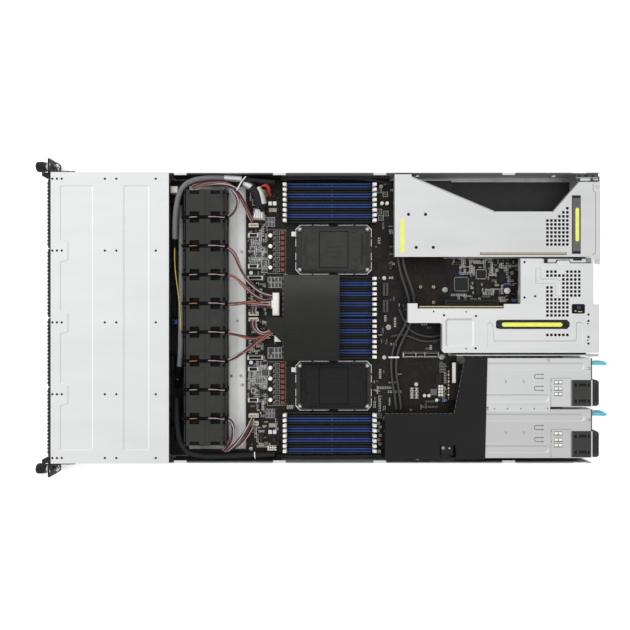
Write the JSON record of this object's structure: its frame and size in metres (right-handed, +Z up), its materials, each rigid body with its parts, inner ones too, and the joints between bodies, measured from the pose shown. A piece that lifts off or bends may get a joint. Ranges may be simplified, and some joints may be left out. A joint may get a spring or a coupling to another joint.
{
  "type": "rack server",
  "caption": "Low rack server barebone, open at the rear: drive carriers under a front cover, a fan row, dual-socket board, riser cages and plug-in power supplies.",
  "frame": {"origin": "middle of the footprint on the underside", "axes": "+Z up, +X from the drive bays to the rear, +Y to the left side seen from the front"},
  "size_m": [0.8734, 0.4826, 0.044],
  "materials": {
    "galvanised_steel": "satin zinc-coated sheet",
    "frame_steel": "plated",
    "black_metal": "fine matt black paint",
    "black_plastic": "fine moulded grain",
    "fan_plastic": "moulded, dark grey",
    "knob_black": "knurled, black",
    "release_teal": "moulded, pale teal",
    "dark_grey_plastic": "moulded",
    "board_dark": "solder-mask lacquer, very dark",
    "slot_blue": "moulded, navy",
    "latch_white": "moulded, off-white",
    "cable_jacket": "braided sleeve and jacket",
    "component_dark": "moulded packages"
  },
  "bodies": {
    "chassis": {"chassis_floor": "galvanised_steel", "side_walls": "galvanised_steel", "front_cover": "galvanised_steel", "drive_bay_walls": "galvanised_steel", "rack_ears": "black_metal", "drive_backplane": "board_dark", "fan_cage": "galvanised_steel", "fan_frames": "fan_plastic", "motherboard": "board_dark", "dimm_slots_blue": "slot_blue", "dimm_slots_black": "black_plastic", "cpu_socket_frames": "frame_steel", "center_air_baffle": "black_plastic", "psu_air_baffle": "black_plastic", "rear_frame": "galvanised_steel", "rear_ports": "frame_steel", "internal_cables": "cable_jacket", "board_components": "component_dark", "screws": "galvanised_steel"},
    "left_thumbscrew": {"left_thumbscrew": "knob_black"},
    "right_thumbscrew": {"right_thumbscrew": "knob_black"},
    "power_button": {"power_button": "black_plastic"},
    "id_button": {"id_button": "black_plastic"},
    "drive_carrier_1": {"drive_carrier_1": "black_plastic"},
    "carrier_lever_1": {"carrier_lever_1": "black_plastic"},
    "carrier_button_1": {"carrier_button_1": "release_teal"},
    "drive_carrier_2": {"drive_carrier_2": "black_plastic"},
    "carrier_lever_2": {"carrier_lever_2": "black_plastic"},
    "carrier_button_2": {"carrier_button_2": "release_teal"},
    "drive_carrier_3": {"drive_carrier_3": "black_plastic"},
    "carrier_lever_3": {"carrier_lever_3": "black_plastic"},
    "carrier_button_3": {"carrier_button_3": "release_teal"},
    "drive_carrier_4": {"drive_carrier_4": "black_plastic"},
    "carrier_lever_4": {"carrier_lever_4": "black_plastic"},
    "carrier_button_4": {"carrier_button_4": "release_teal"},
    "fan_rotor_1": {"fan_rotor_1": "fan_plastic"},
    "fan_rotor_2": {"fan_rotor_2": "fan_plastic"},
    "fan_rotor_3": {"fan_rotor_3": "fan_plastic"},
    "fan_rotor_4": {"fan_rotor_4": "fan_plastic"},
    "fan_rotor_5": {"fan_rotor_5": "fan_plastic"},
    "fan_rotor_6": {"fan_rotor_6": "fan_plastic"},
    "fan_rotor_7": {"fan_rotor_7": "fan_plastic"},
    "fan_rotor_8": {"fan_rotor_8": "fan_plastic"},
    "fan_rotor_9": {"fan_rotor_9": "fan_plastic"},
    "dimm_latches_front": {"dimm_latches_front": "latch_white"},
    "dimm_latches_rear": {"dimm_latches_rear": "latch_white"},
    "socket_cover_1": {"socket_cover_1": "black_plastic"},
    "socket_cover_2": {"socket_cover_2": "black_plastic"},
    "riser_1": {"riser_bracket_1": "galvanised_steel", "riser_card_1": "board_dark"},
    "riser_latch_1": {"riser_latch_1": "dark_grey_plastic"},
    "riser_2": {"riser_bracket_2": "galvanised_steel", "riser_card_2": "board_dark"},
    "riser_handle_2": {"riser_handle_2": "black_plastic"},
    "psu_1": {"psu_body_1": "galvanised_steel", "psu_handle_1": "black_plastic"},
    "psu_latch_1": {"psu_latch_1": "release_teal"},
    "psu_2": {"psu_body_2": "galvanised_steel", "psu_handle_2": "black_plastic"},
    "psu_latch_2": {"psu_latch_2": "release_teal"}
  },
  "joints": [
    {"name": "left_thumbscrew_turn", "type": "hinge", "parent": "chassis", "child": "left_thumbscrew", "pos_m": [-0.4113, 0.23255, 0.0222], "axis": [1, 0, 0], "continuous": true},
    {"name": "right_thumbscrew_turn", "type": "hinge", "parent": "chassis", "child": "right_thumbscrew", "pos_m": [-0.4113, -0.23255, 0.0222], "axis": [1, 0, 0], "continuous": true},
    {"name": "power_button_press", "type": "slide", "parent": "chassis", "child": "power_button", "axis": [1, 0, 0], "range_m": [0, 0.001], "stiffness_N_per_m": 1500},
    {"name": "id_button_press", "type": "slide", "parent": "chassis", "child": "id_button", "axis": [1, 0, 0], "range_m": [0, 0.001], "stiffness_N_per_m": 1500},
    {"name": "drive_carrier_1_slide", "type": "slide", "parent": "chassis", "child": "drive_carrier_1", "axis": [-1, 0, 0], "range_m": [0, 0.15]},
    {"name": "carrier_lever_1_swing", "type": "hinge", "parent": "drive_carrier_1", "child": "carrier_lever_1", "pos_m": [-0.4084, 0.11273, 0.0328], "axis": [0, 0, 1], "range_deg": [0, 55]},
    {"name": "carrier_button_1_press", "type": "slide", "parent": "drive_carrier_1", "child": "carrier_button_1", "axis": [1, 0, 0], "range_m": [0, 0.001], "stiffness_N_per_m": 1500},
    {"name": "drive_carrier_2_slide", "type": "slide", "parent": "chassis", "child": "drive_carrier_2", "axis": [-1, 0, 0], "range_m": [0, 0.15]},
    {"name": "carrier_lever_2_swing", "type": "hinge", "parent": "drive_carrier_2", "child": "carrier_lever_2", "pos_m": [-0.4084, 0.00797, 0.0328], "axis": [0, 0, 1], "range_deg": [0, 55]},
    {"name": "carrier_button_2_press", "type": "slide", "parent": "drive_carrier_2", "child": "carrier_button_2", "axis": [1, 0, 0], "range_m": [0, 0.001], "stiffness_N_per_m": 1500},
    {"name": "drive_carrier_3_slide", "type": "slide", "parent": "chassis", "child": "drive_carrier_3", "axis": [-1, 0, 0], "range_m": [0, 0.15]},
    {"name": "carrier_lever_3_swing", "type": "hinge", "parent": "drive_carrier_3", "child": "carrier_lever_3", "pos_m": [-0.4084, -0.09677, 0.0328], "axis": [0, 0, 1], "range_deg": [0, 55]},
    {"name": "carrier_button_3_press", "type": "slide", "parent": "drive_carrier_3", "child": "carrier_button_3", "axis": [1, 0, 0], "range_m": [0, 0.001], "stiffness_N_per_m": 1500},
    {"name": "drive_carrier_4_slide", "type": "slide", "parent": "chassis", "child": "drive_carrier_4", "axis": [-1, 0, 0], "range_m": [0, 0.15]},
    {"name": "carrier_lever_4_swing", "type": "hinge", "parent": "drive_carrier_4", "child": "carrier_lever_4", "pos_m": [-0.4084, -0.20153, 0.0328], "axis": [0, 0, 1], "range_deg": [0, 55]},
    {"name": "carrier_button_4_press", "type": "slide", "parent": "drive_carrier_4", "child": "carrier_button_4", "axis": [1, 0, 0], "range_m": [0, 0.001], "stiffness_N_per_m": 1500},
    {"name": "fan_rotor_1_spin", "type": "hinge", "parent": "chassis", "child": "fan_rotor_1", "pos_m": [-0.1753, 0.17392, 0.0217], "axis": [1, 0, 0], "continuous": true},
    {"name": "fan_rotor_2_spin", "type": "hinge", "parent": "chassis", "child": "fan_rotor_2", "pos_m": [-0.1753, 0.13044, 0.0217], "axis": [1, 0, 0], "continuous": true},
    {"name": "fan_rotor_3_spin", "type": "hinge", "parent": "chassis", "child": "fan_rotor_3", "pos_m": [-0.1753, 0.08696, 0.0217], "axis": [1, 0, 0], "continuous": true},
    {"name": "fan_rotor_4_spin", "type": "hinge", "parent": "chassis", "child": "fan_rotor_4", "pos_m": [-0.1753, 0.04348, 0.0217], "axis": [1, 0, 0], "continuous": true},
    {"name": "fan_rotor_5_spin", "type": "hinge", "parent": "chassis", "child": "fan_rotor_5", "pos_m": [-0.1753, 0, 0.0217], "axis": [1, 0, 0], "continuous": true},
    {"name": "fan_rotor_6_spin", "type": "hinge", "parent": "chassis", "child": "fan_rotor_6", "pos_m": [-0.1753, -0.04348, 0.0217], "axis": [1, 0, 0], "continuous": true},
    {"name": "fan_rotor_7_spin", "type": "hinge", "parent": "chassis", "child": "fan_rotor_7", "pos_m": [-0.1753, -0.08696, 0.0217], "axis": [1, 0, 0], "continuous": true},
    {"name": "fan_rotor_8_spin", "type": "hinge", "parent": "chassis", "child": "fan_rotor_8", "pos_m": [-0.1753, -0.13044, 0.0217], "axis": [1, 0, 0], "continuous": true},
    {"name": "fan_rotor_9_spin", "type": "hinge", "parent": "chassis", "child": "fan_rotor_9", "pos_m": [-0.1753, -0.17392, 0.0217], "axis": [1, 0, 0], "continuous": true},
    {"name": "dimm_latches_front_open", "type": "hinge", "parent": "chassis", "child": "dimm_latches_front", "pos_m": [-0.0539, 0, 0.0122], "axis": [0, -1, 0], "range_deg": [0, 18]},
    {"name": "dimm_latches_rear_open", "type": "hinge", "parent": "chassis", "child": "dimm_latches_rear", "pos_m": [0.0829, 0, 0.0122], "axis": [0, 1, 0], "range_deg": [0, 18]},
    {"name": "socket_cover_1_lift", "type": "slide", "parent": "chassis", "child": "socket_cover_1", "axis": [0, 0, 1], "range_m": [0, 0.03]},
    {"name": "socket_cover_2_lift", "type": "slide", "parent": "chassis", "child": "socket_cover_2", "axis": [0, 0, 1], "range_m": [0, 0.03]},
    {"name": "riser_1_lift", "type": "slide", "parent": "chassis", "child": "riser_1", "axis": [0, 0, 1], "range_m": [0, 0.06]},
    {"name": "riser_latch_1_open", "type": "hinge", "parent": "riser_1", "child": "riser_latch_1", "pos_m": [0.382, 0.1406, 0.0413], "axis": [0, -1, 0], "range_deg": [0, 80]},
    {"name": "riser_2_lift", "type": "slide", "parent": "chassis", "child": "riser_2", "axis": [0, 0, 1], "range_m": [0, 0.06]},
    {"name": "riser_handle_2_open", "type": "hinge", "parent": "riser_2", "child": "riser_handle_2", "pos_m": [0.2686, -0.00995, 0.0412], "axis": [0, -1, 0], "range_deg": [0, 75]},
    {"name": "psu_1_slide", "type": "slide", "parent": "chassis", "child": "psu_1", "axis": [1, 0, 0], "range_m": [0, 0.17]},
    {"name": "psu_latch_1_press", "type": "hinge", "parent": "psu_1", "child": "psu_latch_1", "pos_m": [0.4, -0.0696, 0.0225], "axis": [0, 0, -1], "range_deg": [0, 8], "stiffness_Nm_per_rad": 2},
    {"name": "psu_2_slide", "type": "slide", "parent": "chassis", "child": "psu_2", "axis": [1, 0, 0], "range_m": [0, 0.17]},
    {"name": "psu_latch_2_press", "type": "hinge", "parent": "psu_2", "child": "psu_latch_2", "pos_m": [0.4, -0.1469, 0.0225], "axis": [0, 0, -1], "range_deg": [0, 8], "stiffness_Nm_per_rad": 2}
  ]
}
